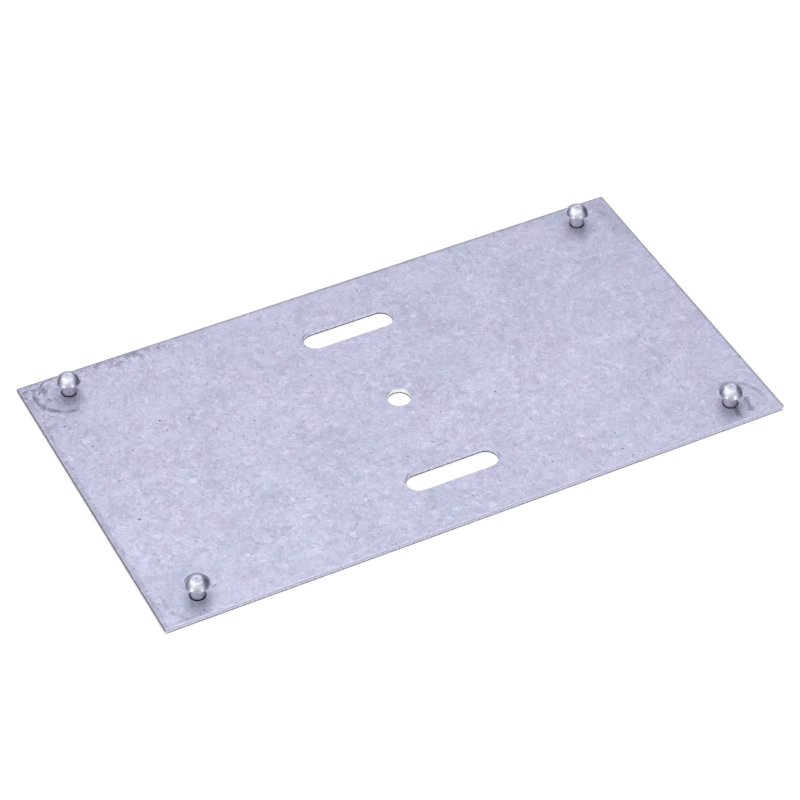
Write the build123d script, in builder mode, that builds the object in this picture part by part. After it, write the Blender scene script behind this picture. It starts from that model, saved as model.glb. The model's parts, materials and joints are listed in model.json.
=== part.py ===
from build123d import *
import os
from math import acos, asin, degrees, radians, tan

os.makedirs("parts", exist_ok=True)

# All sizes are millimetres. X runs along the plate, Y across it, and Z stands up from its back face.
# The origin is on the back face, on the axis of the centre hole.

# The blank, sheared from sheet.
plate_length = 183.0
plate_width = 100.0
plate_thickness = 1.5
corner_radius = 0.4

# Shearing rolls the outer edge over on the top face and leaves the back edge square.
# The openings are punched from the same side, and their mouths are broken by a small bevel.
edge_roll = 0.25
mouth_bevel = 0.18

# The punched openings: a round hole in the middle, and a long slot on each side of it.
centre_hole_diameter = 6.5
slot_length = 27.0
slot_width = 7.0
slot_spacing = 62.5

# The studs stand this far in from the plate's ends and from its sides.
stud_end_inset = 12.5
stud_side_inset = 7.5

# The stud above the plate: a plain neck, and a head that is part of a ball, with its crown faced flat.
neck_diameter = 3.9
neck_height = 3.5
head_diameter = 6.8
underside_rise = 0.5
rim_land = 0.3
dome_rise = 1.9
crown_diameter = 2.3
rim_bevel = 0.12

# The centre mark that the lathe leaves in the crown.
centre_mark_diameter = 0.8
centre_mark_depth = 0.25

# The stud's seat: a shallow coined ring in the top face, wider than the neck, with a floor for the shoulder.
seat_diameter = 4.4
seat_depth = 0.35
seat_lip = 0.08
shoulder_diameter = 3.4

# The tenon goes through the plate and is peened flush into a countersink on the back.
tenon_diameter = 3.0
tenon_clearance = 0.02
sink_diameter = 4.4
sink_angle = 90.0

stud_x = plate_length / 2 - stud_end_inset
stud_y = plate_width / 2 - stud_side_inset
seat_floor = plate_thickness - seat_depth
tenon_hole_diameter = tenon_diameter + 2 * tenon_clearance
top_plane = Plane.XY.offset(plate_thickness)
back_plane = Plane(origin=(0, 0, 0), x_dir=(1, 0, 0), z_dir=(0, 0, -1))


with BuildPart() as mounting_plate:
    with BuildSketch(Plane.XY):
        RectangleRounded(plate_length, plate_width, corner_radius)
        Circle(centre_hole_diameter / 2, mode=Mode.SUBTRACT)
        with GridLocations(0, slot_spacing, 1, 2):
            SlotOverall(slot_length, slot_width, mode=Mode.SUBTRACT)
    extrude(amount=plate_thickness)

    top_face = mounting_plate.faces().sort_by(Axis.Z)[-1]
    fillet(top_face.outer_wire().edges(), edge_roll)
    top_face = mounting_plate.faces().filter_by(Plane.XY).sort_by(Axis.Z)[-1]
    chamfer(top_face.inner_wires().edges(), mouth_bevel)

    # The seats are coined after the blank is punched, so their lips are small bevels.
    with BuildSketch(top_plane):
        with GridLocations(2 * stud_x, 2 * stud_y, 2, 2):
            Circle(seat_diameter / 2)
    extrude(amount=-seat_depth, mode=Mode.SUBTRACT)
    seat_edges = mounting_plate.edges().filter_by(GeomType.CIRCLE).group_by(Axis.Z)[-1]
    seat_mouths = seat_edges.filter_by(lambda edge: abs(edge.radius - seat_diameter / 2) < seat_lip)
    chamfer(seat_mouths, seat_lip)

    with Locations(back_plane):
        with GridLocations(2 * stud_x, 2 * stud_y, 2, 2):
            CounterSinkHole(tenon_hole_diameter / 2, sink_diameter / 2, counter_sink_angle=sink_angle)

mounting_plate.part.label = "mounting_plate"
export_step(mounting_plate.part, "parts/mounting_plate.step")


# Each stud is turned in one piece. Its section is drawn from the back face up, on a plane through its axis.
neck_radius = neck_diameter / 2
head_radius = head_diameter / 2
crown_radius = crown_diameter / 2
tenon_radius = tenon_diameter / 2
shoulder_radius = shoulder_diameter / 2
sink_radius = sink_diameter / 2
mark_radius = centre_mark_diameter / 2
sink_depth = (sink_radius - tenon_radius) / tan(radians(sink_angle / 2))
underside_z = plate_thickness + neck_height
rim_z = underside_z + underside_rise
dome_foot_z = rim_z + rim_land
dome_radius = (head_radius**2 + dome_rise**2) / (2 * dome_rise)
dome_centre_z = dome_foot_z + dome_rise - dome_radius
dome_foot_angle = degrees(asin((dome_foot_z - dome_centre_z) / dome_radius))
crown_angle = degrees(acos(crown_radius / dome_radius))

stud_places = {
    "stud_front_left": (-stud_x, -stud_y),
    "stud_front_right": (stud_x, -stud_y),
    "stud_back_left": (-stud_x, stud_y),
    "stud_back_right": (stud_x, stud_y),
}

for stud_name, (x, y) in stud_places.items():
    with BuildPart() as stud:
        with BuildSketch(Plane(origin=(x, y, 0), x_dir=(1, 0, 0), z_dir=(0, -1, 0))) as section:
            with BuildLine():
                dome = CenterArc(
                    (0, dome_centre_z),
                    dome_radius,
                    dome_foot_angle,
                    crown_angle - dome_foot_angle,
                )
                crown_z = (dome @ 1).Y
                Polyline(
                    (0, 0),
                    (sink_radius, 0),
                    (tenon_radius, sink_depth),
                    (tenon_radius, seat_floor),
                    (shoulder_radius, seat_floor),
                    (neck_radius, plate_thickness),
                    (neck_radius, underside_z),
                    (head_radius, rim_z),
                    dome @ 0,
                )
                Polyline(
                    dome @ 1,
                    (mark_radius, crown_z),
                    (0, crown_z - centre_mark_depth),
                    (0, 0),
                )
            make_face()
            chamfer(section.vertices().sort_by_distance((head_radius, rim_z))[0], rim_bevel)
        revolve(axis=Axis((x, y, 0), (0, 0, 1)))

    stud.part.label = stud_name
    export_step(stud.part, f"parts/{stud_name}.step")
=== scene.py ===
import json
import math

import bmesh
import bpy
import numpy as np
from mathutils import Matrix, Vector


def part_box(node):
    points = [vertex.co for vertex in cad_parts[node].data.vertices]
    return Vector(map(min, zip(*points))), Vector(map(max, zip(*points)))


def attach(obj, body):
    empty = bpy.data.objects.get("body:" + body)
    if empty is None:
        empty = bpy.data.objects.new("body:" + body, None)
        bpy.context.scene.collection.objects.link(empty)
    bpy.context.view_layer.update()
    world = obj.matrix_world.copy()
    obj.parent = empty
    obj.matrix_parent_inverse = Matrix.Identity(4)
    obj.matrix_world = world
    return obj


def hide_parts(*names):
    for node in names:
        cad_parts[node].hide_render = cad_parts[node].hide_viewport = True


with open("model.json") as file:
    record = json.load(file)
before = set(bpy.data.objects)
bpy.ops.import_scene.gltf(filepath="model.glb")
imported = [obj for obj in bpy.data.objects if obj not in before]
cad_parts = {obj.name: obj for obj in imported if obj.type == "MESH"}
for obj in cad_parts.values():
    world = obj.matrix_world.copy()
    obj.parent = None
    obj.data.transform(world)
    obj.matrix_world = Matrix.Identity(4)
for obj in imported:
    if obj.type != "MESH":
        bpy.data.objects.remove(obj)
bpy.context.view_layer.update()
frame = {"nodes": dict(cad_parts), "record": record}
mounts = {mount["name"]: mount["dims"] for mount in frame["record"]["mounts"]}
mm = 0.001
print("frame loaded:", ", ".join(sorted(frame["nodes"])))

low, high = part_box("mounting_plate")
thickness = high.z - low.z
studX = mounts["hook_studs"]["spacing_x_mm"] * mm / 2
studY = mounts["hook_studs"]["spacing_y_mm"] * mm / 2
slotY = mounts["screw_slots"]["spacing_y_mm"] * mm / 2
slotRadius = mounts["screw_slots"]["hole_r_mm"] * mm
slotHalf = mounts["screw_slots"]["slot_length_mm"] * mm / 2 - slotRadius
holeRadius = mounts["centre_hole"]["r_mm"] * mm
studPlaces = {
    "stud_front_left": (-studX, -studY),
    "stud_front_right": (studX, -studY),
    "stud_back_left": (-studX, studY),
    "stud_back_right": (studX, studY),
}


# Camera.

camera = {
    "aim": (-0.0003, -0.0011, 0.0015),  # where the optical axis meets the sheet
    "distance": 0.8544,
    "azimuth": -26.975,
    "elevation": 43.058,
    "roll": 0.087,
    "lens": 141.815,
}


def makeCamera(settings):
    data = bpy.data.cameras.new("camera")
    data.lens = settings["lens"]
    eye = bpy.data.objects.new("camera", data)
    turn = Matrix.Rotation(math.radians(settings["azimuth"]), 4, "Z")
    turn = turn @ Matrix.Rotation(math.radians(90 - settings["elevation"]), 4, "X")
    turn = turn @ Matrix.Rotation(math.radians(settings["roll"]), 4, "Z")
    back = turn.to_3x3() @ Vector((0, 0, 1))
    turn.translation = Vector(settings["aim"]) + back * settings["distance"]
    eye.matrix_world = turn
    bpy.context.scene.collection.objects.link(eye)
    bpy.context.scene.camera = eye


makeCamera(camera)
print("camera set")


# Node helpers.


def place(tree, kind, inputs=None, **options):
    # Adds a node, sets its options, and gives each input a value or a link.
    node = tree.nodes.new("ShaderNode" + kind)
    for name, value in options.items():
        setattr(node, name, value)
    for name, value in (inputs or {}).items():
        if isinstance(value, bpy.types.NodeSocket):
            tree.links.new(value, node.inputs[name])
        else:
            node.inputs[name].default_value = value
    return node


def maths(tree, operation, *values, clamp=False):
    node = place(tree, "Math", dict(enumerate(values)), operation=operation, use_clamp=clamp)
    return node.outputs[0]


def product(tree, first, second):
    return maths(tree, "MULTIPLY", first, second)


def largest(tree, first, *others):
    for other in others:
        first = maths(tree, "MAXIMUM", first, other)
    return first


def gap(tree, value, spot):
    # The size of value - spot.
    return maths(tree, "ABSOLUTE", maths(tree, "SUBTRACT", value, spot))


def vectorMaths(tree, operation, *values):
    # The second output holds a plain number, the first a vector.
    node = place(tree, "VectorMath", dict(enumerate(values)), operation=operation)
    return node.outputs[1 if operation in ("DOT_PRODUCT", "DISTANCE", "LENGTH") else 0]


def axes(tree, vector):
    return place(tree, "SeparateXYZ", {0: vector}).outputs


def mixed(tree, factor, first, second, blend="MIX"):
    # A colour mix: the sockets 0, 6 and 7 are the factor and the two colours.
    node = place(tree, "Mix", {0: factor, 6: first, 7: second}, data_type="RGBA", blend_type=blend)
    return node.outputs[2]


def stepped(tree, value, low, high, start=0.0, end=1.0):
    # A smooth step from start to end as value goes from low to high.
    names = ("Value", "From Min", "From Max", "To Min", "To Max")
    inputs = dict(zip(names, (value, low, high, start, end)))
    return place(tree, "MapRange", inputs, interpolation_type="SMOOTHSTEP").outputs["Result"]


def noise(tree, vector, scale, detail=2.0, distortion=0.0, roughness=0.5):
    inputs = {"Vector": vector, "Scale": scale, "Detail": detail}
    inputs.update({"Distortion": distortion, "Roughness": roughness})
    return place(tree, "TexNoise", inputs).outputs[0]


def cells(tree, vector, scale):
    # Voronoi cells: their spots, and three random numbers for each.
    node = place(tree, "TexVoronoi", {"Vector": vector, "Scale": scale}, feature="F1")
    return node.outputs["Position"], place(tree, "SeparateColor", {0: node.outputs["Color"]}).outputs


def bent(tree, vector, scale, detail, reach):
    # The vector moved about in X and Y: vector + reach * (coloured noise - 0.5).
    waves = place(tree, "TexNoise", {"Vector": vector, "Scale": scale, "Detail": detail}).outputs["Color"]
    shift = vectorMaths(tree, "SUBTRACT", waves, (0.5, 0.5, 0.5))
    return vectorMaths(tree, "MULTIPLY_ADD", shift, (reach, reach, 0), vector)


def spun(tree, vector, chance):
    # The vector turned about Z by a random share of half a turn.
    inputs = {"Vector": vector, "Angle": product(tree, chance, math.pi)}
    return place(tree, "VectorRotate", inputs, rotation_type="Z_AXIS").outputs[0]


def newGroup(name, inputs, outputs):
    # A node group with typed sockets; returns its tree, its input node and its output node.
    tree = bpy.data.node_groups.new(name, "ShaderNodeTree")
    for label, kind, value in inputs:
        socket = tree.interface.new_socket(label, in_out="INPUT", socket_type="NodeSocket" + kind)
        if value is not None:
            socket.default_value = value
    for label, kind in outputs:
        tree.interface.new_socket(label, in_out="OUTPUT", socket_type="NodeSocket" + kind)
    return tree, tree.nodes.new("NodeGroupInput"), tree.nodes.new("NodeGroupOutput")


def placeGroup(tree, group, vector, **values):
    # Places a node group on a vector; other inputs are given as plain values.
    node = place(tree, "Group", node_tree=group)
    tree.links.new(vector, node.inputs["Vector"])
    for name, value in values.items():
        node.inputs[name].default_value = value
    return node


def newMaterial(name):
    material = bpy.data.materials.new(name)
    material.use_nodes = True
    material.node_tree.nodes.clear()
    return material, material.node_tree


def finishMaterial(tree, colour, rough, height, settings):
    # A metal whose relief follows the height; returns the shader, for what only one metal needs.
    inputs = {"Strength": settings["bump"], "Distance": settings["bumpDepth"] * mm, "Height": height}
    relief = place(tree, "Bump", inputs).outputs[0]
    inputs = {"Base Color": colour, "Roughness": rough, "Normal": relief, "Metallic": settings["metallic"]}
    shader = place(tree, "BsdfPrincipled", inputs)
    output = tree.nodes.new("ShaderNodeOutputMaterial")
    tree.links.new(shader.outputs[0], output.inputs[0])
    return shader


def millimetres(tree):
    # Object coordinates in millimetres, so that pattern sizes read as real ones.
    coordinates = tree.nodes.new("ShaderNodeTexCoord").outputs["Object"]
    scaled = place(tree, "VectorMath", {0: coordinates, "Scale": 1 / mm}, operation="SCALE")
    return scaled.outputs[0]


# Shared surface effects.

spangle = {
    "crystal": 3.4,  # sizes in millimetres
    "grain": 1.7,
    "mottle": 0.55,
    "contrast": 0.94,
    "crystalShare": 0.07,  # how much of the tone each part carries
    "grainShare": 0.2,
    "featherShare": 0.86,
    "mottleShare": 0.39,
    "slowShare": 0.34,
    "brightFeather": 0.22,
    "featherStretch": (0.55, 2.6, 1),
    "bend": 1.5,
}


def makeSpangleGroup(settings):
    # Tone = 0.5 + crystal tints + feathering that runs its own way in each crystal + mottle + slow patches.
    inputs = [
        ("Vector", "Vector", None),
        ("Crystal", "Float", settings["crystal"]),
        ("Grain", "Float", settings["grain"]),
        ("Mottle", "Float", settings["mottle"]),
        ("Contrast", "Float", settings["contrast"]),
    ]
    outputs = [("Tone", "Float"), ("Drift", "Float"), ("Height", "Float")]
    tree, given, result = newGroup("zincSpangle", inputs, outputs)
    vector = given.outputs["Vector"]
    wavy = bent(tree, vector, 0.9, 3.0, settings["bend"])

    def per(name):
        return maths(tree, "DIVIDE", 1.0, given.outputs[name])

    def about(value, share):
        return maths(tree, "MULTIPLY_ADD", value, share, -share / 2)

    largeChance = cells(tree, wavy, per("Crystal"))[1]
    chance = cells(tree, wavy, per("Grain"))[1]
    stretched = vectorMaths(tree, "MULTIPLY", spun(tree, vector, chance[1]), settings["featherStretch"])
    feather = noise(tree, stretched, 1.0, 2.0, 0.0, 0.6)
    fine = noise(tree, vector, per("Mottle"), 2.0, 0.4, 0.6)
    slow = noise(tree, vector, 0.055, 3.0, 0.4)
    busy = stepped(tree, noise(tree, vector, 0.09, 2.0), 0.42, 0.6, 0.86, 1.06)
    bright = stepped(tree, product(tree, feather, chance[2]), 0.36, 0.60, 0.0, settings["brightFeather"])
    feathers = maths(tree, "ADD", about(feather, settings["featherShare"]), bright)
    grains = maths(tree, "ADD", about(chance[0], settings["grainShare"]), feathers)
    grains = product(tree, grains, busy)
    crystals = maths(tree, "ADD", about(largeChance[0], settings["crystalShare"]), grains)
    shades = maths(tree, "ADD", about(fine, settings["mottleShare"]), about(slow, settings["slowShare"]))
    total = maths(tree, "ADD", crystals, shades)
    tone = maths(tree, "MULTIPLY_ADD", total, given.outputs["Contrast"], 0.5)
    broad, narrow = noise(tree, vector, 0.035, 2.0, 0.5), noise(tree, wavy, 0.26, 2.0, 0.5)
    drift = maths(tree, "MULTIPLY_ADD", narrow, 0.7, product(tree, broad, 0.3))
    tree.links.new(tone, result.inputs["Tone"])
    tree.links.new(drift, result.inputs["Drift"])
    tree.links.new(maths(tree, "MULTIPLY_ADD", chance[0], 0.3, feather), result.inputs["Height"])
    return tree


def makeMarksGroup():
    # Scattered marks: each Voronoi cell may hold one short stroke, turned by a random angle.
    inputs = [
        ("Vector", "Vector", None),
        ("Spacing", "Float", 8.0),
        ("Length", "Float", 1.0),
        ("Width", "Float", 0.1),
        ("Share", "Float", 0.5),
    ]
    tree, given, result = newGroup("scatteredMarks", inputs, [("Mask", "Float")])
    flat = vectorMaths(tree, "MULTIPLY", given.outputs["Vector"], (1, 1, 0))
    spot, chance = cells(tree, flat, maths(tree, "DIVIDE", 1.0, given.outputs["Spacing"]))
    local = axes(tree, spun(tree, vectorMaths(tree, "SUBTRACT", flat, spot), chance[1]))
    along, across = maths(tree, "ABSOLUTE", local[0]), maths(tree, "ABSOLUTE", local[1])
    half, thin = product(tree, given.outputs["Length"], 0.5), product(tree, given.outputs["Width"], 0.5)
    ends = stepped(tree, along, product(tree, half, 0.6), half, 1, 0)
    sides = stepped(tree, across, product(tree, thin, 0.3), thin, 1, 0)
    kept = maths(tree, "LESS_THAN", chance[0], given.outputs["Share"])
    tree.links.new(product(tree, product(tree, ends, sides), kept), result.inputs["Mask"])
    return tree


spangleGroup = makeSpangleGroup(spangle)
marksGroup = makeMarksGroup()
print("shared effects built")


# Galvanised sheet.

zinc = {
    "dark": (0.457, 0.460, 0.600, 1),
    "light": (0.742, 0.743, 0.922, 1),
    "warm": (1.014, 0.983, 0.996, 1),
    "cool": (0.984, 1.007, 1.006, 1),
    "speck": (0.16, 0.16, 0.21, 1),
    "fleck": (0.86, 0.86, 1.0, 1),
    # tarnish, and painted shade along the far edges and round the studs
    "shadeAndTarnish": (0.56, 0.55, 0.57, 1),
    # nearly black painted shade in the seat grooves, partly grime
    "shadeAndGrime": (0.075, 0.075, 0.095, 1),
    "roughness": (0.50, 0.62),
    "shadeAndTarnishRoughness": 0.1,
    "metallic": 0.85,
    "bump": 0.35,
    "bumpDepth": 0.02,  # sizes and places in millimetres
    "topSide": (0.6, 1.0),  # the top face's own marks fade in between these heights
    "ringRadius": 8.85,
    "ringShift": (0.6, -1.2),  # the riveting tool stood a little off the stud's axis
    "ringWidth": 0.9,
    "ringTone": 1.2,
    "ringShares": (1.0, 0.35),
    "ringRightShare": 0.5,
    "clampLine": -90.0,
    "clampLineTone": 0.4,
    "grooveRadius": 2.20,
    # the halo is painted shade round each stud's foot, partly grime
    "haloRadius": 5.2,
    "haloTone": 0.34,
    "marks": {
        # spacing, length, width, share of the cells that hold one, depth of tone
        "fleck": (2.3, 1.5, 0.42, 0.5, 0.4),
        "tick": (7.0, 1.9, 0.34, 0.45, 0.24),
        "speck": (3.2, 0.9, 0.6, 0.45, 0.24),
        "pit": (9.0, 0.75, 0.5, 0.13, 0.7),
    },
    "pitRaggedness": 0.8,
    "pits": [
        # x, y, radius
        (-81.5, -11.1, 0.50),
        (24.4, -9.8, 0.40),
        (44.1, -44.8, 0.36),
        (-61.4, 16.4, 0.34),
        (-54.4, 18.1, 0.34),
        (-49.3, 11.2, 0.34),
        (-38.9, 9.4, 0.32),
        (25.0, -40.7, 0.34),
        (-20.2, 12.3, 0.30),
        (-72.6, 13.4, 0.30),
        (7.4, -10.1, 0.30),
        (-81.7, 19.8, 0.42),
        (26.7, 34.4, 0.30),
        (-29.0, 21.7, 0.34),
        (-61.7, 20.9, 0.40),
        (-85.4, 30.3, 0.40),
        (-79.7, -48.2, 0.34),
    ],
    "hairline": 0.3,  # scratches narrower than this stay straight
    "scratchBend": 2.2,
    "scratches": [
        # start x, y, end x, y, half width, depth of tone
        (71.1, -11.8, 70.6, -37.0, 0.20, 0.38),
        (-89.75, 35.8, -90.4, 24.4, 0.22, 0.45),
        (-89.7, -49.2, -77.0, -48.75, 0.22, 0.42),
        # the next row is a short dark strip just right of the front-left stud's head
        (-75.2, -41.85, -73.2, -41.65, 0.5, 0.5),
        (83.8, -42.0, 82.6, -48.0, 1.1, 0.72),
        (79.5, -44.4, 78.3, -48.6, 1.0, 0.66),
        (-24.95, -28.8, -24.97, -33.1, 0.20, 0.3),
        (-82.6, 49.8, -88.4, 46.0, 0.55, 0.4),
        (-86.6, 49.9, -90.8, 46.9, 0.5, 0.4),
        (-87.9, 47.6, -88.4, 43.2, 0.7, 0.38),
        (-85.2, 48.4, -82.6, 46.2, 0.50, 0.35),
    ],
    # the first four rows are painted shade: the right end, the left end, the back edge, and slightly towards
    # the back; the last is a stain
    "stainsAndShade": [
        # x from, x to, least share, y from, y to, depth of tone
        (90.4, 91.1, 0.0, -60, -55, 0.55),
        (-89.85, -90.5, 0.0, -60, -55, 0.3),
        (0, 1, 1.0, 48.8, 49.3, 0.5),
        (0, 1, 1.0, -30, 50, 0.09),
        (83, 89, 0.0, 20, 40, 0.4),
    ],
    "smudges": [
        (-78, -85, 0.0, 33, 44, 1.0),
        (-38, -56, 0.141, 43, 49, 0.85),
        (-60, -88, 0.0, -5, 45, 0.45),
    ],
}


def studDistance(tree, vector):
    # Distance from the nearest stud's axis, with the plate folded so that one point serves four studs.
    parts = axes(tree, vector)
    dx = maths(tree, "SUBTRACT", maths(tree, "ABSOLUTE", parts[0]), studX / mm)
    dy = maths(tree, "SUBTRACT", maths(tree, "ABSOLUTE", parts[1]), studY / mm)
    return maths(tree, "SQRT", maths(tree, "MULTIPLY_ADD", dx, dx, product(tree, dy, dy)))


def grooveMask(tree, vector, away, settings):
    # Painted shade in the seat round each stud, nearly black and partly grime, more in some spots than in
    # others.
    radius = settings["grooveRadius"]
    groove = stepped(tree, away, radius - 0.05, radius + 0.15, 1, 0)
    patchy = stepped(tree, noise(tree, vector, 0.45, 2.0), 0.38, 0.56, 0.3, 1.0)
    return product(tree, groove, patchy)


def placedPits(tree, vector, settings):
    # Mask = 1 near any listed pit, by the smallest distance divided by the pit's radius.
    nearest = 9.0
    for x, y, radius in settings["pits"]:
        away = vectorMaths(tree, "DISTANCE", vector, (x, y, thickness / mm))
        nearest = maths(tree, "MINIMUM", nearest, maths(tree, "DIVIDE", away, radius))
    ragged = maths(tree, "MULTIPLY_ADD", noise(tree, vector, 2.5, 1.0), settings["pitRaggedness"], nearest)
    return stepped(tree, ragged, 0.9, 1.5, 0.8, 0)


def placedScratches(tree, vector, settings):
    # Each scratch is a strip: near its line across the half width, and near its middle along the half length.
    wavy = bent(tree, vector, 0.5, 5.0, settings["scratchBend"])
    total = 0.0
    for x0, y0, x1, y1, half, depth in settings["scratches"]:
        length = math.hypot(x1 - x0, y1 - y0)
        ux, uy = (x1 - x0) / length, (y1 - y0) / length
        middle = ((x0 + x1) / 2, (y0 + y1) / 2, thickness / mm)
        local = vectorMaths(tree, "SUBTRACT", vector if half < settings["hairline"] else wavy, middle)
        along = maths(tree, "ABSOLUTE", vectorMaths(tree, "DOT_PRODUCT", local, (ux, uy, 0)))
        across = maths(tree, "ABSOLUTE", vectorMaths(tree, "DOT_PRODUCT", local, (-uy, ux, 0)))
        ends = stepped(tree, along, 0.35 * length, 0.5 * length, depth, 0)
        sides = stepped(tree, across, 0.3 * half, half, 1, 0)
        total = maths(tree, "MULTIPLY_ADD", ends, sides, total)
    patchy = stepped(tree, noise(tree, vector, 1.9, 4.0), 0.34, 0.56, 0.1, 1.0)
    return product(tree, total, patchy)


def pressRings(tree, vector, settings):
    # The riveting tool's ring: a thin circle round each stud, strong on its outer side.
    # A half turn of the sheet lays opposite corners on each other, so two circles serve four studs.
    parts = axes(tree, vector)
    side = maths(tree, "SIGN", parts[0])
    x, y = maths(tree, "ABSOLUTE", parts[0]), product(tree, parts[1], side)
    shiftX, shiftY = settings["ringShift"]
    centres = ((studX / mm + shiftX, shiftY - studY / mm), (studX / mm, studY / mm))
    total = 0.0
    for (centreX, centreY), share in zip(centres, settings["ringShares"]):
        dx, dy = maths(tree, "SUBTRACT", x, centreX), maths(tree, "SUBTRACT", y, centreY)
        away = maths(tree, "SQRT", maths(tree, "MULTIPLY_ADD", dx, dx, product(tree, dy, dy)))
        offLine = gap(tree, away, settings["ringRadius"])
        ring = stepped(tree, offLine, 0.1, settings["ringWidth"], settings["ringTone"], 0)
        outward = maths(tree, "DIVIDE", maths(tree, "MULTIPLY_ADD", dy, 0.8, dx), away)
        outer = stepped(tree, outward, 0.62, 1.1, 0.06, share)
        total = maths(tree, "MULTIPLY_ADD", ring, outer, total)
    total = product(tree, total, stepped(tree, side, -1, 1, 1, settings["ringRightShare"]))
    return product(tree, total, stepped(tree, noise(tree, vector, 0.6, 3.0), 0.34, 0.6, 0.25, 1.0))


def edgeShadeAndTarnishMask(tree, vector, settings):
    # Painted shade along both ends, the back edge and slightly towards the back, a grey stain near the back
    # of the right end, smudged corners, and a clamp's line near one end.
    # Each stain = depth * (least share to 1 across its x range) * (0 to 1 across its y range).
    x, y = axes(tree, vector)[:2]

    def deepest(rows):
        total = 0.0
        for fromX, toX, least, fromY, toY, depth in rows:
            wide = stepped(tree, x, fromX, toX, least * depth, depth)
            total = largest(tree, product(tree, wide, stepped(tree, y, fromY, toY)), total)
        return total

    patchy = stepped(tree, noise(tree, vector, 0.45, 3.0, 0.5), 0.45, 0.6)
    line = stepped(tree, gap(tree, x, settings["clampLine"]), 0.08, 0.3, settings["clampLineTone"], 0)
    smudged = stepped(tree, noise(tree, vector, 0.5, 4.0, 0.8, 0.65), 0.46, 0.60, 0.1, 1.0)
    plain = maths(tree, "MULTIPLY_ADD", line, patchy, deepest(settings["stainsAndShade"]))
    return largest(tree, plain, product(tree, deepest(settings["smudges"]), smudged))


def scattered(tree, vector, row):
    # A mask of scattered strokes from one row of the marks table.
    spacing, length, width, share, depth = row
    marks = placeGroup(tree, marksGroup, vector, Spacing=spacing, Length=length, Width=width, Share=share)
    return product(tree, marks.outputs["Mask"], depth)


def makeZinc(settings):
    # Two greys mixed by the spangle's tone, with pits, scratches and tarnish on them, painted shade along the
    # far edges and round each stud, and painted shade with grime in the seat grooves.
    material, tree = newMaterial("galvanisedSheet")
    vector = millimetres(tree)
    crystals = placeGroup(tree, spangleGroup, vector).outputs
    colour = mixed(tree, crystals["Tone"], settings["dark"], settings["light"])
    drift = stepped(tree, crystals["Drift"], 0.38, 0.62)
    colour = mixed(tree, 1.0, colour, mixed(tree, drift, settings["cool"], settings["warm"]), "MULTIPLY")
    marks = {name: scattered(tree, vector, row) for name, row in settings["marks"].items()}
    colour = mixed(tree, marks["fleck"], colour, settings["fleck"])
    onTop = stepped(tree, axes(tree, vector)[2], *settings["topSide"])
    placed = largest(tree, placedScratches(tree, vector, settings), placedPits(tree, vector, settings))
    dark = largest(tree, product(tree, placed, onTop), marks["tick"], marks["speck"], marks["pit"])
    colour = mixed(tree, dark, colour, settings["speck"])
    rings = pressRings(tree, vector, settings)
    wornAndShaded = maths(tree, "ADD", edgeShadeAndTarnishMask(tree, vector, settings), rings, clamp=True)
    wornAndShaded = product(tree, wornAndShaded, onTop)
    away = studDistance(tree, vector)
    # Painted shade round each stud's foot, partly grime, fading out by the halo's radius.
    halo = stepped(tree, away, settings["grooveRadius"], settings["haloRadius"], settings["haloTone"], 0)
    halo = product(tree, halo, onTop)
    colour = mixed(tree, largest(tree, wornAndShaded, halo), colour, settings["shadeAndTarnish"], "MULTIPLY")
    # Painted shade in the seat groove round each stud, partly grime.
    groove = product(tree, grooveMask(tree, vector, away, settings), onTop)
    colour = mixed(tree, groove, colour, settings["shadeAndGrime"])
    rough = stepped(tree, crystals["Tone"], 0.25, 0.75, *reversed(settings["roughness"]))
    rough = maths(tree, "MULTIPLY_ADD", wornAndShaded, settings["shadeAndTarnishRoughness"], rough)
    finishMaterial(tree, colour, rough, crystals["Height"], settings)
    return material


# Cut edges.

cut = {
    "fracture": (0.30, 0.30, 0.35, 1),
    "punched": (0.07, 0.07, 0.09, 1),  # the torn band inside the openings is darker, nearly black as painted shade at the foot of their walls
    "burnish": (0.66, 0.66, 0.83, 1),
    "lip": (0.76, 0.76, 0.94, 1),
    "holeBand": (0.97, 0.98, 1.0, 1),  # the round punch leaves the brightest band
    "shearLine": (0.72, 0.72, 0.74, 1),
    "endShade": (0.25, 0.24, 0.26, 1),  # painted shade on the upper part of the sheared ends and the back, with a painted reflection of the floor below
    # painted reflection of the floor low on the ends and the back
    "endFootReflection": (0.92, 0.92, 0.96, 1),
    "roughness": (0.65, 0.40),
    "metallic": 0.9,
    "bump": 0.4,
    "bumpDepth": 0.02,
    "fractureTop": 0.32,  # heights on the cut wall, in millimetres
    "burnishTop": 1.22,
    "shearLineHeight": 1.08,
    "endFootTop": 0.82,
    "raggedness": 0.4,
    "holeReach": 5.0,
}


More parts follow.
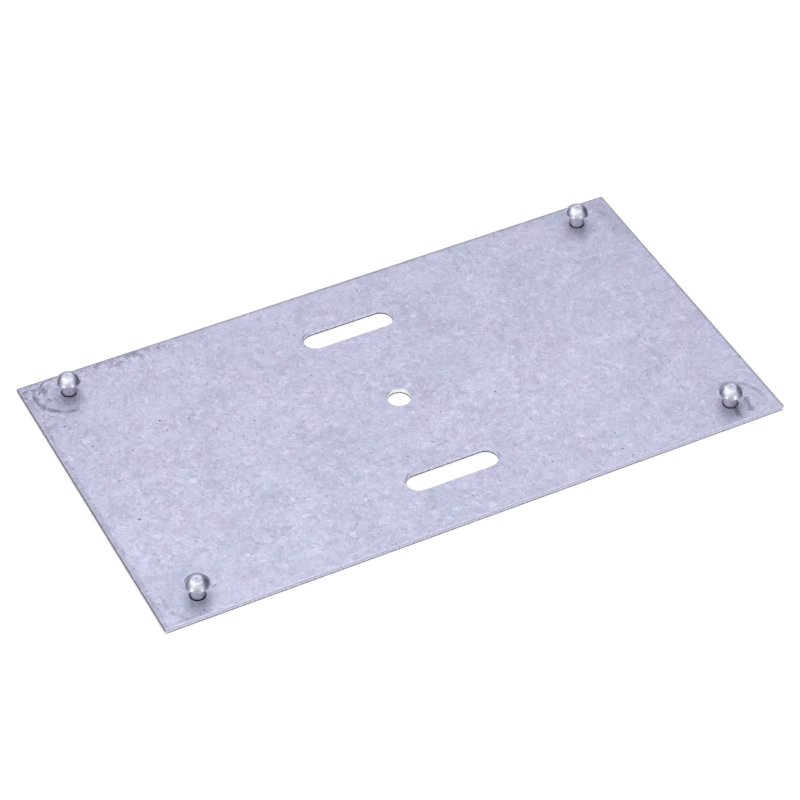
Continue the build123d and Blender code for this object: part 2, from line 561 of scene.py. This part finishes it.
def makeCutEdge(settings):
    # The cut wall: a torn dark band at the back edge, a bright burnished band, and a rolled lip, with painted
    # shade and a painted floor reflection on the ends and the back, painted shade in the openings' torn band,
    # and painted shade with grime in the seat grooves.
    material, tree = newMaterial("cutEdge")
    vector = millimetres(tree)
    x, y, height = axes(tree, vector)
    streaks = noise(tree, vector, 1.6, 3.0)
    lowered = maths(tree, "SUBTRACT", height, settings["raggedness"] / 2)
    level = maths(tree, "MULTIPLY_ADD", streaks, settings["raggedness"], lowered)
    burnish = stepped(tree, level, settings["fractureTop"] - 0.08, settings["fractureTop"] + 0.08)
    lip = stepped(tree, height, settings["burnishTop"], settings["burnishTop"] + 0.12)
    # Inside the openings the torn band is painted nearly black: painted shade as well as the torn band.
    inside = stepped(tree, maths(tree, "ABSOLUTE", y), 40, 44, 1, 0)
    torn = mixed(tree, inside, settings["fracture"], settings["punched"])
    colour = mixed(tree, burnish, torn, settings["burnish"])
    colour = mixed(tree, lip, colour, settings["lip"])

    reach = settings["holeReach"]
    nearHole = stepped(tree, vectorMaths(tree, "LENGTH", vector), reach, reach + 1, 1, 0)
    colour = mixed(tree, product(tree, burnish, nearHole), colour, settings["holeBand"])
    line = stepped(tree, gap(tree, height, settings["shearLineHeight"]), 0.1, 0.22, 1, 0)
    line = product(tree, line, stepped(tree, y, -49.8, -49.5, 1, 0))
    colour = mixed(tree, line, colour, settings["shearLine"], "MULTIPLY")

    # Painted shade high on the ends and the back, and a painted reflection of the floor below it.
    foot = stepped(tree, level, settings["endFootTop"] - 0.1, settings["endFootTop"] + 0.1, 1, 0)
    endColour = mixed(tree, foot, settings["endShade"], settings["endFootReflection"])
    ends = stepped(tree, maths(tree, "ABSOLUTE", x), 91.0, 91.3)
    endsAndBackShading = largest(tree, ends, stepped(tree, y, 49.5, 49.8))
    colour = mixed(tree, endsAndBackShading, colour, endColour)

    # The seat's walls get the same nearly black painted shade, partly grime.
    groove = grooveMask(tree, vector, studDistance(tree, vector), zinc)
    seat = product(tree, groove, stepped(tree, height, 0.9, 1.0))
    colour = mixed(tree, seat, colour, zinc["shadeAndGrime"])
    grain = stepped(tree, streaks, 0.3, 0.7, 0.85, 1.12)
    gray = place(tree, "CombineColor", {0: grain, 1: grain, 2: grain}).outputs[0]
    colour = mixed(tree, 1.0, colour, gray, "MULTIPLY")
    torn, smooth = settings["roughness"]
    rough = maths(tree, "MULTIPLY_ADD", burnish, smooth - torn, torn)
    finishMaterial(tree, colour, rough, streaks, settings)
    return material


# Turned steel.

turned = {
    "dark": (0.68, 0.695, 0.85, 1),
    "light": (0.89, 0.90, 1.0, 1),
    "stain": (0.46, 0.46, 0.52, 1),
    "stainTone": 0.35,
    # painted light: the neck's colour is raised and warmed
    "neckPaintedLight": (1.14, 1.11, 0.97, 1),
    "crownTint": (0.86, 0.865, 0.88, 1),
    "edgeTint": (0.36, 0.365, 0.43, 1),
    # nearly black painted shade at the neck's foot, partly grime
    "shadeAndGrime": (0.04, 0.04, 0.05, 1),
    "roughness": (0.22, 0.32),
    "crownRoughness": 0.28,
    "metallic": 1.0,
    "bump": 0.3,
    "bumpDepth": 0.01,
    "brushing": 0.35,
    "ringStretch": (1.5, 7.0, 0.0),
    "neckTop": 4.95,  # heights in millimetres
    "crownFoot": 7.4,
    "shadeAndGrimeTop": 1.42,
    "shadeAndGrimeFoot": 0.9,
}


def makeTurned(settings):
    # The map's second coordinate runs along the profile in millimetres, so its bands are lathe rings.
    # The neck is painted brighter and warmer than the head as painted light, and its foot is painted nearly
    # black as painted shade in the groove, partly grime.
    material, tree = newMaterial("turnedSteel")
    vector = millimetres(tree)
    height = axes(tree, vector)[2]
    rings = place(tree, "UVMap", uv_map="turning").outputs[0]
    feed = noise(tree, vectorMaths(tree, "MULTIPLY", rings, settings["ringStretch"]), 1.0, 3.0, 0.0, 0.6)
    cloud = noise(tree, vector, 0.7, 3.0, 0.5)
    colour = mixed(tree, stepped(tree, feed, 0.3, 0.7), settings["dark"], settings["light"])
    stain = product(tree, stepped(tree, cloud, 0.56, 0.72), settings["stainTone"])
    colour = mixed(tree, stain, colour, settings["stain"])
    # Painted light on the neck: its colour is multiplied brighter and warmer.
    neck = stepped(tree, height, settings["neckTop"] - 0.1, settings["neckTop"], 1, 0)
    colour = mixed(tree, neck, colour, settings["neckPaintedLight"], "MULTIPLY")
    crown = stepped(tree, height, settings["crownFoot"], settings["crownFoot"] + 0.1)
    colour = mixed(tree, crown, colour, settings["crownTint"], "MULTIPLY")
    # The neck's foot is painted nearly black as shade in the groove, partly grime, but the tenon's back is
    # left clean.
    ragged = maths(tree, "MULTIPLY_ADD", cloud, 0.5, height)
    shadeAndGrime = stepped(tree, ragged, settings["shadeAndGrimeTop"], settings["shadeAndGrimeTop"] + 0.35, 1, 0)
    shadeAndGrime = product(tree, shadeAndGrime, stepped(tree, height, settings["shadeAndGrimeFoot"], settings["shadeAndGrimeFoot"] + 0.1))
    colour = mixed(tree, shadeAndGrime, colour, settings["shadeAndGrime"])
    rough = stepped(tree, cloud, 0.3, 0.7, *settings["roughness"])
    rough = maths(tree, "MULTIPLY_ADD", crown, settings["crownRoughness"], rough)
    shader = finishMaterial(tree, colour, rough, feed, settings)
    shader.inputs["Specular Tint"].default_value = settings["edgeTint"]
    shader.inputs["Anisotropic"].default_value = settings["brushing"]
    shader.inputs["Anisotropic Rotation"].default_value = 0.25  # brushed round the axis
    tangent = place(tree, "Tangent", direction_type="UV_MAP", uv_map="turning")
    tree.links.new(tangent.outputs[0], shader.inputs["Tangent"])
    return material


zincMaterial = makeZinc(zinc)
cutMaterial = makeCutEdge(cut)
turnedMaterial = makeTurned(turned)
print("materials built")


# Mesh helpers.


def smoothNoise(x, y, cell, seed):
    # Random heights from -1 to 1 on a square lattice, with a smooth step between neighbours.
    size = 64
    table = np.random.default_rng(seed).uniform(-1, 1, (size, size))
    u, v = np.asarray(x) / cell, np.asarray(y) / cell
    i, j = np.floor(u).astype(int), np.floor(v).astype(int)
    a, b = u - i, v - j
    a, b = a * a * (3 - 2 * a), b * b * (3 - 2 * b)
    near = table[i % size, j % size] * (1 - a) + table[(i + 1) % size, j % size] * a
    far = table[i % size, (j + 1) % size] * (1 - a) + table[(i + 1) % size, (j + 1) % size] * a
    return near * (1 - b) + far * b


def gridTriangles(index, closed=False):
    # Two triangles for each square of a grid; a closed grid joins its last column to its first.
    if closed:
        index = np.hstack([index, index[:, :1]])
    a, b, c, d = index[:-1, :-1], index[:-1, 1:], index[1:, 1:], index[1:, :-1]
    return np.stack([a, b, c, a, c, d], -1).reshape(-1, 2, 3).transpose(1, 0, 2).reshape(-1, 3)


def weldedPiece(name, points, triangles, kinds, materials, sharpAngle):
    # Points in one place become one, triangles that lose a corner go, and the faces are turned outwards.
    keys = np.round(points / (0.0001 * mm)).astype(np.int64)
    _, first, place = np.unique(keys, axis=0, return_index=True, return_inverse=True)
    triangles = place.reshape(-1)[triangles]
    points = points[first]
    a, b, c = triangles.T
    whole = (a != b) & (b != c) & (c != a)
    triangles, kinds = triangles[whole], kinds[whole]
    mesh = bpy.data.meshes.new(name)
    mesh.vertices.add(len(points))
    mesh.vertices.foreach_set("co", points.astype(np.float32).ravel())
    mesh.loops.add(3 * len(triangles))
    mesh.loops.foreach_set("vertex_index", triangles.astype(np.int32).ravel())
    mesh.polygons.add(len(triangles))
    mesh.polygons.foreach_set("loop_start", np.arange(0, 3 * len(triangles), 3, dtype=np.int32))
    mesh.polygons.foreach_set("material_index", kinds.astype(np.int32))
    mesh.update(calc_edges=True)
    mesh.validate()
    for material in materials:
        mesh.materials.append(material)
    shell = bmesh.new()
    shell.from_mesh(mesh)
    bmesh.ops.recalc_face_normals(shell, faces=shell.faces)
    shell.to_mesh(mesh)
    shell.free()
    mesh.shade_smooth()
    mesh.set_sharp_from_angle(angle=math.radians(sharpAngle))
    piece = bpy.data.objects.new(name, mesh)
    bpy.context.scene.collection.objects.link(piece)
    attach(piece, "root")
    print(name, len(points), "points,", len(triangles), "triangles")
    return piece


# Sheet.

sheet = {
    "corner": 0.4 * mm,
    "roll": 0.25 * mm,
    "mouthBevel": 0.18 * mm,
    "seatRadius": 2.2 * mm,
    "seatDepth": 0.35 * mm,
    "seatLip": 0.08 * mm,
    "tenonHole": 1.52 * mm,
    "sinkRadius": 2.2 * mm,
    "tear": 0.03 * mm,  # how far the torn band steps back, and how rough it is
    "tearTop": 0.6 * mm,
    "pressDepth": 0.05 * mm,  # the riveting tool's faint ring around each stud
    "pressWidth": 0.35 * mm,
    "wave": 0.012 * mm,
    "dish": 0.03 * mm,
    "dishRadius": 3.4 * mm,
    "sharpAngle": 30,
}


def gridLines(stops, steps):
    # Mirrored grid lines: near-even steps of about the given length between the stops, from 0 outwards.
    runs = []
    for start, end, step in zip(stops, stops[1:], steps):
        count = max(2, round((end - start) / step) + 1)
        runs.append(np.linspace(start, end, count)[1:])
    half = np.concatenate(runs)
    return np.concatenate([-half[::-1], [0.0], half])


def sheetRelief(x, y):
    # Height = long waves - a shallow dish at each stud - the tool's ring, strongest on its outer side.
    height = sheet["wave"] * (smoothNoise(x, y, 17 * mm, 3) + 0.5 * smoothNoise(x, y, 6 * mm, 5))
    shiftX, shiftY = zinc["ringShift"]
    ringRadius, ringWidth = zinc["ringRadius"] * mm, sheet["pressWidth"]
    for seed, (cx, cy) in enumerate(studPlaces.values()):
        side = mm * np.sign(cx) * (cx * cy < 0)
        ringX, ringY = cx + shiftX * side, cy + shiftY * side
        away, ringAway = np.hypot(x - cx, y - cy), np.hypot(x - ringX, y - ringY)
        angle = np.arctan2(y - cy, x - cx)
        outward = np.cos(angle - math.atan2(-0.55 * cy, cx))
        strength = np.clip(0.35 + 0.65 * outward + 0.3 * smoothNoise(angle, away * 0, 0.5, 11 + seed), 0, 1)
        groove = np.exp(-(((ringAway - ringRadius) / ringWidth) ** 2))
        ridge = np.exp(-(((ringAway - ringRadius) / ringWidth - 1.6) ** 2))
        height -= sheet["pressDepth"] * strength * (groove - 0.4 * ridge)
        height -= sheet["dish"] * np.exp(-((away / sheet["dishRadius"]) ** 2))
    return height


def openingShell(centre, half, cell, profile, layers, xLines, yLines):
    # Round an opening: point = nearest point of its centre line + outward direction * distance.
    # The distance runs in from the cell's edge on top, down the profile, and out again on the back.
    (cx, cy), (wide, deep) = centre, cell
    xs = xLines[(xLines > cx - wide - 1e-9) & (xLines < cx + wide + 1e-9)]
    ys = yLines[(yLines > cy - deep - 1e-9) & (yLines < cy + deep + 1e-9)]
    rim = np.concatenate([
        np.stack([xs[:-1], np.full(len(xs) - 1, ys[0])], 1),
        np.stack([np.full(len(ys) - 1, xs[-1]), ys[:-1]], 1),
        np.stack([xs[:0:-1], np.full(len(xs) - 1, ys[-1])], 1),
        np.stack([np.full(len(ys) - 1, xs[0]), ys[:0:-1]], 1),
    ])
    anchor = np.stack([np.clip(rim[:, 0], cx - half, cx + half), np.full(len(rim), cy)], 1)
    reach = np.linalg.norm(rim - anchor, axis=1)
    outward = (rim - anchor) / reach[:, None]
    radii, heights = np.array(profile).T
    ease = np.linspace(1, 0, layers + 1)[:-1, None] ** 1.3
    onTop = radii[0] + (reach - radii[0]) * ease
    onBack = (radii[-1] + (reach - radii[-1]) * ease)[::-1]
    walls = np.repeat(radii[:, None], len(rim), 1)
    torn = (heights > 0) & (heights < sheet["tearTop"]) & (radii < radii[0])
    along = np.arange(len(rim)) * 0.5 * mm
    rough = smoothNoise(along[None] + 0 * walls, heights[:, None] * 1.7 + 0 * walls, 0.35 * mm, 7)
    walls = walls + torn[:, None] * sheet["tear"] * (1 + 0.5 * rough)
    distance = np.vstack([onTop, walls, onBack])
    z = np.concatenate([np.full(layers, thickness), heights, np.zeros(layers)])
    points = np.empty(distance.shape + (3,))
    points[..., :2] = anchor + outward * distance[..., None]
    points[..., 2] = z[:, None]
    points[0, :, :2] = rim
    points[-1, :, :2] = rim
    index = np.arange(distance.size).reshape(distance.shape)
    kinds = np.zeros((distance.shape[0] - 1, distance.shape[1]), int)
    kinds[layers : layers + len(radii) - 1] = 1
    return points.reshape(-1, 3), gridTriangles(index, True), np.tile(kinds.ravel(), 2)


def borderShell(xLines, yLines, profile, fan):
    # Round the outline: point = base rectangle + outward direction * offset, with a fan at each corner.
    rows = []
    sides = [
        (xLines, (xLines[0], yLines[0])),
        (yLines, (xLines[-1], yLines[0])),
        (xLines[::-1], (xLines[-1], yLines[-1])),
        (yLines[::-1], (xLines[0], yLines[-1])),
    ]
    for quarter, (lines, start) in enumerate(sides):
        run = lines[1:-1]
        turnAngles = np.linspace(-math.pi, -math.pi / 2, fan + 1) + quarter * math.pi / 2
        rows.append(np.stack([np.full(fan + 1, start[0]), np.full(fan + 1, start[1]), turnAngles], 1))
        fixed = np.full(len(run), start[1] if quarter % 2 == 0 else start[0])
        base = [run, fixed] if quarter % 2 == 0 else [fixed, run]
        rows.append(np.stack([*base, np.full(len(run), turnAngles[-1])], 1))
    path = np.concatenate(rows)
    outward = np.stack([np.cos(path[:, 2]), np.sin(path[:, 2])], 1)
    offsets, heights = np.array(profile).T
    lengths = np.linalg.norm(np.diff(path[:, :2], axis=0), axis=1) + 0.1 * mm
    along = np.concatenate([[0], np.cumsum(lengths)])
    torn = (heights > 0) & (heights < sheet["tearTop"])
    across = np.repeat(offsets[:, None], len(path), 1)
    rough = smoothNoise(along[None] + 0 * across, heights[:, None] * 1.7 + 0 * across, 0.4 * mm, 9)
    across = across - torn[:, None] * sheet["tear"] * (1 + 0.6 * rough)
    points = np.empty(across.shape + (3,))
    points[..., :2] = path[:, :2] + outward * across[..., None]
    points[..., 2] = heights[:, None]
    index = np.arange(across.size).reshape(across.shape)
    kinds = np.ones((across.shape[0] - 1, across.shape[1]), int)
    kinds[0], kinds[-1] = 0, 0
    return points.reshape(-1, 3), gridTriangles(index, True), np.tile(kinds.ravel(), 2)


def makeSheet():
    inset = sheet["corner"]
    xLines = gridLines(
        np.array([0, 8, 19, 69, 74, 84, high.x / mm - inset / mm]) * mm,
        np.array([0.6, 0.6, 1.8, 0.5, 0.5, 0.5]) * mm,
    )
    yLines = gridLines(
        np.array([0, 8, 25, 37.5, 47.5, high.y / mm - inset / mm]) * mm,
        np.array([0.6, 1.8, 0.6, 0.5, 0.5]) * mm,
    )
    xs, ys = np.meshgrid(xLines, yLines)
    squares = np.arange(xs.size).reshape(xs.shape)
    midX, midY = (xs[:-1, :-1] + xs[1:, 1:]) / 2, (ys[:-1, :-1] + ys[1:, 1:]) / 2
    cells = [((0, 0), (8 * mm, 8 * mm))]
    cells += [((0, y), (19 * mm, 6.25 * mm)) for y in (-slotY, slotY)]
    cells += [(spot, (5 * mm, 5 * mm)) for spot in studPlaces.values()]
    plain = np.ones(midX.shape, bool)
    for (cx, cy), (wide, deep) in cells:
        plain &= (abs(midX - cx) > wide) | (abs(midY - cy) > deep)
    a, b, c, d = squares[:-1, :-1], squares[:-1, 1:], squares[1:, 1:], squares[1:, :-1]
    flat = np.concatenate([np.stack([a, b, c], -1)[plain], np.stack([a, c, d], -1)[plain]])
    parts = []
    for z in (thickness, 0.0):
        points = np.stack([xs.ravel(), ys.ravel(), np.full(xs.size, z)], 1)
        parts.append((points, flat, np.zeros(len(flat), int)))

    bevel = sheet["mouthBevel"]
    tearHeights = np.array([0.6, 0.52, 0.42, 0.32, 0.22, 0.12, 0.04, 0.0]) * mm
    for (cx, cy), (wide, deep) in cells[:3]:
        half, radius = (slotHalf, slotRadius) if cy else (0.0, holeRadius)
        profile = [(radius + bevel, thickness), (radius + bevel / 2, thickness - 0.35 * bevel)]
        profile += [(radius, thickness - bevel), (radius, 0.95 * mm)]
        profile += [(radius, z) for z in tearHeights]
        parts.append(openingShell((cx, cy), half, (wide, deep), profile, 7, xLines, yLines))
    seatFloor = thickness - sheet["seatDepth"]
    sink = sheet["sinkRadius"] - sheet["tenonHole"]
    for (cx, cy), (wide, deep) in cells[3:]:
        profile = [
            (sheet["seatRadius"] + sheet["seatLip"], thickness),
            (sheet["seatRadius"], thickness - sheet["seatLip"]),
            (sheet["seatRadius"], seatFloor),
            (sheet["tenonHole"], seatFloor),
            (sheet["tenonHole"], sink),
            (sheet["sinkRadius"], 0.0),
        ]
        parts.append(openingShell((cx, cy), 0.0, (wide, deep), profile, 8, xLines, yLines))

    bend = np.linspace(0, math.pi / 2, 6)
    roll = sheet["roll"]
    profile = [(0.0, thickness)]
    profile += list(zip(inset - roll + roll * np.sin(bend), thickness - roll + roll * np.cos(bend)))
    profile += [(inset, 0.95 * mm)] + [(inset, z) for z in tearHeights] + [(inset / 2, 0.0), (0.0, 0.0)]
    parts.append(borderShell(xLines, yLines, profile, 4))

    shifts = np.cumsum([0] + [len(part[0]) for part in parts[:-1]])
    points = np.concatenate([part[0] for part in parts])
    triangles = np.concatenate([part[1] + shift for part, shift in zip(parts, shifts)])
    kinds = np.concatenate([part[2] for part in parts])
    onTop = np.clip((points[:, 2] - 1.0 * mm) / (0.4 * mm), 0, 1)
    points[:, 2] += onTop * sheetRelief(points[:, 0], points[:, 1])
    materials = [zincMaterial, cutMaterial]
    piece = weldedPiece("zinc_sheet", points, triangles, kinds, materials, sheet["sharpAngle"])
    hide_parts("mounting_plate")


makeSheet()


# Studs.

stud = {
    "neck": 1.95 * mm,
    "neckTop": 5.0 * mm,
    "rim": 5.5 * mm,
    "domeFoot": 5.8 * mm,
    "domeRise": 1.9 * mm,
    "crown": 1.15 * mm,
    "mark": 0.4 * mm,
    "markDepth": 0.25 * mm,
    "shoulder": 1.7 * mm,
    "tenon": 1.5 * mm,
    "rounding": 0.1 * mm,
    "markRounding": 0.03 * mm,
    "turns": 96,
    "domeSteps": 34,
    "step": 0.11 * mm,
    "feed": 0.28 * mm,
    "feedDepth": 0.0012 * mm,
}


def roundedProfile(corners, step):
    # The profile through the corners, each (radius, height, rounding), with an arc at every rounded one.
    spots = np.array([corner[:2] for corner in corners])
    runs = []
    for k, (spot, rounding) in enumerate(zip(spots, [corner[2] for corner in corners])):
        if rounding == 0 or k in (0, len(spots) - 1):
            runs.append(spot[None])
            continue
        before = (spots[k - 1] - spot) / np.linalg.norm(spots[k - 1] - spot)
        after = (spots[k + 1] - spot) / np.linalg.norm(spots[k + 1] - spot)
        u = np.linspace(0, 1, 6)[:, None]
        entry, leave = spot + before * rounding, spot + after * rounding
        runs.append((1 - u) ** 2 * entry + 2 * u * (1 - u) * spot + u**2 * leave)
    rough = np.concatenate(runs)
    pieces = []
    for a, b in zip(rough, rough[1:]):
        count = max(1, round(np.linalg.norm(b - a) / step))
        pieces.append(a + (b - a) * np.linspace(0, 1, count, endpoint=False)[:, None])
    return np.concatenate(pieces + [rough[-1:]])


def studProfile(settings):
    # Radius and height from the back of the tenon up to the crown's mark; the dome is part of a ball.
    headRadius = (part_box("stud_front_left")[1].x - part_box("stud_front_left")[0].x) / 2
    rise = settings["domeRise"]
    ball = (headRadius**2 + rise**2) / (2 * rise)
    middle = settings["domeFoot"] + rise - ball
    lowest = math.asin((settings["domeFoot"] - middle) / ball)
    highest = math.acos(settings["crown"] / ball)
    angles = np.linspace(lowest, highest, settings["domeSteps"])
    dome = np.stack([ball * np.cos(angles), middle + ball * np.sin(angles)], 1)
    seatFloor = thickness - sheet["seatDepth"]
    sink = sheet["sinkRadius"] - sheet["tenonHole"]
    r = settings["rounding"]
    lower = [
        (0.0, 0.0, 0),
        (sheet["sinkRadius"] - 0.02 * mm, 0.0, 0),
        (settings["tenon"], sink, 0),
        (settings["tenon"], seatFloor, 0),
        (settings["shoulder"], seatFloor, 0),
        (settings["neck"], thickness, 0),
        (settings["neck"], settings["neckTop"], r),
        (headRadius, settings["rim"], r),
        (headRadius, settings["domeFoot"], 0),
    ]
    crownZ = dome[-1, 1]
    upper = [
        (*dome[-1], 0),
        (settings["mark"], crownZ, settings["markRounding"]),
        (0.0, crownZ - settings["markDepth"], 0),
    ]
    return np.concatenate([
        roundedProfile(lower, settings["step"]),
        dome[1:-1],
        roundedProfile(upper, settings["step"]),
    ])


def makeStud(name, centre, settings, seed):
    # The profile turned about the stud's axis: x = cx + r cos a, y = cy + r sin a, with fine feed marks.
    profile = studProfile(settings)
    lengths = np.linalg.norm(np.diff(profile, axis=0), axis=1)
    run = np.concatenate([[0], np.cumsum(lengths)])
    slope = np.gradient(profile, axis=0)
    normal = np.stack([slope[:, 1], -slope[:, 0]], 1) / np.linalg.norm(slope, axis=1)[:, None]
    feed = np.sin(2 * math.pi * run / settings["feed"]) + 0.6 * smoothNoise(run, run * 0, 0.2 * mm, seed)
    fade = np.clip(profile[:, 0] / (0.3 * mm), 0, 1) * (profile[:, 1] > 1.6 * mm)
    profile = profile + normal * (settings["feedDepth"] * feed * fade)[:, None]
    angles = np.linspace(0, 2 * math.pi, settings["turns"], endpoint=False) + seed
    points = np.empty((len(profile), len(angles), 3))
    points[..., 0] = centre[0] + profile[:, :1] * np.cos(angles)
    points[..., 1] = centre[1] + profile[:, :1] * np.sin(angles)
    points[..., 2] = profile[:, 1:]
    index = np.arange(points[..., 0].size).reshape(points.shape[:2])
    triangles = gridTriangles(index, True)
    kinds = np.zeros(len(triangles), int)
    piece = weldedPiece(name + "_turned", points.reshape(-1, 3), triangles, kinds, [turnedMaterial], 30)

    # The map: u = the share of a turn, v = height - 0.8 * radius, in millimetres.
    mesh = piece.data
    spots = np.empty(len(mesh.vertices) * 3, np.float32)
    mesh.vertices.foreach_get("co", spots)
    spots = spots.reshape(-1, 3)
    corners = np.empty(len(mesh.loops), np.int32)
    mesh.loops.foreach_get("vertex_index", corners)
    angle = np.arctan2(spots[:, 1] - centre[1], spots[:, 0] - centre[0])[corners].reshape(-1, 3)
    away = np.hypot(spots[:, 1] - centre[1], spots[:, 0] - centre[0])[corners].reshape(-1, 3)
    wide = (angle.max(1) - angle.min(1) > math.pi)[:, None]
    angle = np.where(wide & (angle < 0), angle + 2 * math.pi, angle)
    height = spots[corners, 2].reshape(-1, 3)
    turning = np.stack([angle / (2 * math.pi), (height - 0.8 * away) / mm], -1)
    layer = mesh.uv_layers.new(name="turning")
    layer.uv.foreach_set("vector", turning.astype(np.float32).ravel())
    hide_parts(name)


for number, (name, centre) in enumerate(studPlaces.items()):
    makeStud(name, centre, stud, number)


# Studio.

studio = {
    "floorSize": 6.0,
    "floorGlow": 0.72,
    "floorColour": (0.42, 0.42, 0.42, 1),
    "ambientLow": 0.26,
    "ambientHigh": 0.72,
    "shadeColour": (0.95, 0.93, 1.30, 1),  # the unlit sides of the room are bluish
    "softboxes": [
        # name, azimuth, elevation, distance, width, height, radiance
        ("overhead", 350, 74, 1.2, 2.0, 1.8, 0.38),
        ("left", 292, 60, 1.4, 1.4, 0.6, 0.24),
        ("frontLeft", 247, 19, 1.3, 0.56, 0.80, 0.85),
        ("frontRight", 168, 22, 1.3, 0.42, 0.85, 0.85),
        ("back", 22, 48, 1.5, 1.5, 1.4, 0.40),
    ],
    "shades": [
        # azimuth, elevation, cosine where the shade starts, cosine where it is full, level left
        (90, 5, 0.45, 0.90, 0.24),
        (314, 2, 0.66, 0.94, 0.36),
    ],
}


def compassPoint(azimuth, elevation, distance):
    # Azimuth runs from +Y towards +X.
    a, e = math.radians(azimuth), math.radians(elevation)
    return Vector((math.sin(a) * math.cos(e), math.cos(a) * math.cos(e), math.sin(e))) * distance


def makeStudio(settings):
    # Softboxes that face the object, a world with two darker sides, and a floor that shows white.
    for name, azimuth, elevation, distance, width, height, radiance in settings["softboxes"]:
        data = bpy.data.lights.new(name + "Softbox", "AREA")
        data.shape = "RECTANGLE"
        data.size, data.size_y = width, height
        data.energy = radiance * width * height * math.pi
        lamp = bpy.data.objects.new(name + "Softbox", data)
        spot = compassPoint(azimuth, elevation, distance)
        lamp.location = spot
        lamp.rotation_euler = spot.to_track_quat("Z", "Y").to_euler()
        bpy.context.scene.collection.objects.link(lamp)

    world = bpy.data.worlds.new("studio")
    bpy.context.scene.world = world
    world.use_nodes = True
    tree = world.node_tree
    tree.nodes.clear()
    rays = tree.nodes.new("ShaderNodeLightPath")
    direction = tree.nodes.new("ShaderNodeTexCoord").outputs["Generated"]
    rise = axes(tree, direction)[2]
    strength = stepped(tree, rise, -0.1, 0.9, settings["ambientLow"], settings["ambientHigh"])
    daylight = 1.0
    for azimuth, elevation, start, full, left in settings["shades"]:
        turn = vectorMaths(tree, "DOT_PRODUCT", direction, compassPoint(azimuth, elevation, 1.0))
        daylight = product(tree, daylight, stepped(tree, turn, start, full, 1.0, left))
    strength = largest(tree, product(tree, strength, daylight), rays.outputs["Is Camera Ray"])
    whiteness = largest(tree, daylight, rays.outputs["Is Camera Ray"])
    colour = mixed(tree, whiteness, settings["shadeColour"], (1, 1, 1, 1))
    light = place(tree, "Background", {"Color": colour, "Strength": strength})
    output = tree.nodes.new("ShaderNodeOutputWorld")
    tree.links.new(light.outputs[0], output.inputs[0])

    material, tree = newMaterial("studioFloor")
    rays = tree.nodes.new("ShaderNodeLightPath")
    kinds = ("Is Camera Ray", "Is Glossy Ray", "Is Transmission Ray")
    seen = largest(tree, *[rays.outputs[kind] for kind in kinds])
    glow = place(tree, "Emission", {"Strength": product(tree, seen, settings["floorGlow"])})
    matt = place(tree, "BsdfDiffuse", {"Color": settings["floorColour"]})
    both = place(tree, "AddShader", {0: glow.outputs[0], 1: matt.outputs[0]})
    output = tree.nodes.new("ShaderNodeOutputMaterial")
    tree.links.new(both.outputs[0], output.inputs[0])
    side = settings["floorSize"] / 2
    mesh = bpy.data.meshes.new("studioFloor")
    corners = [(-side, -side, 0), (side, -side, 0), (side, side, 0), (-side, side, 0)]
    mesh.from_pydata(corners, [], [(0, 1, 2, 3)])
    mesh.materials.append(material)
    floor = bpy.data.objects.new("studioFloor", mesh)
    floor.location.z = -0.02 * mm
    bpy.context.scene.collection.objects.link(floor)


makeStudio(studio)
bpy.context.scene.view_settings.view_transform = "Standard"
print("studio set")
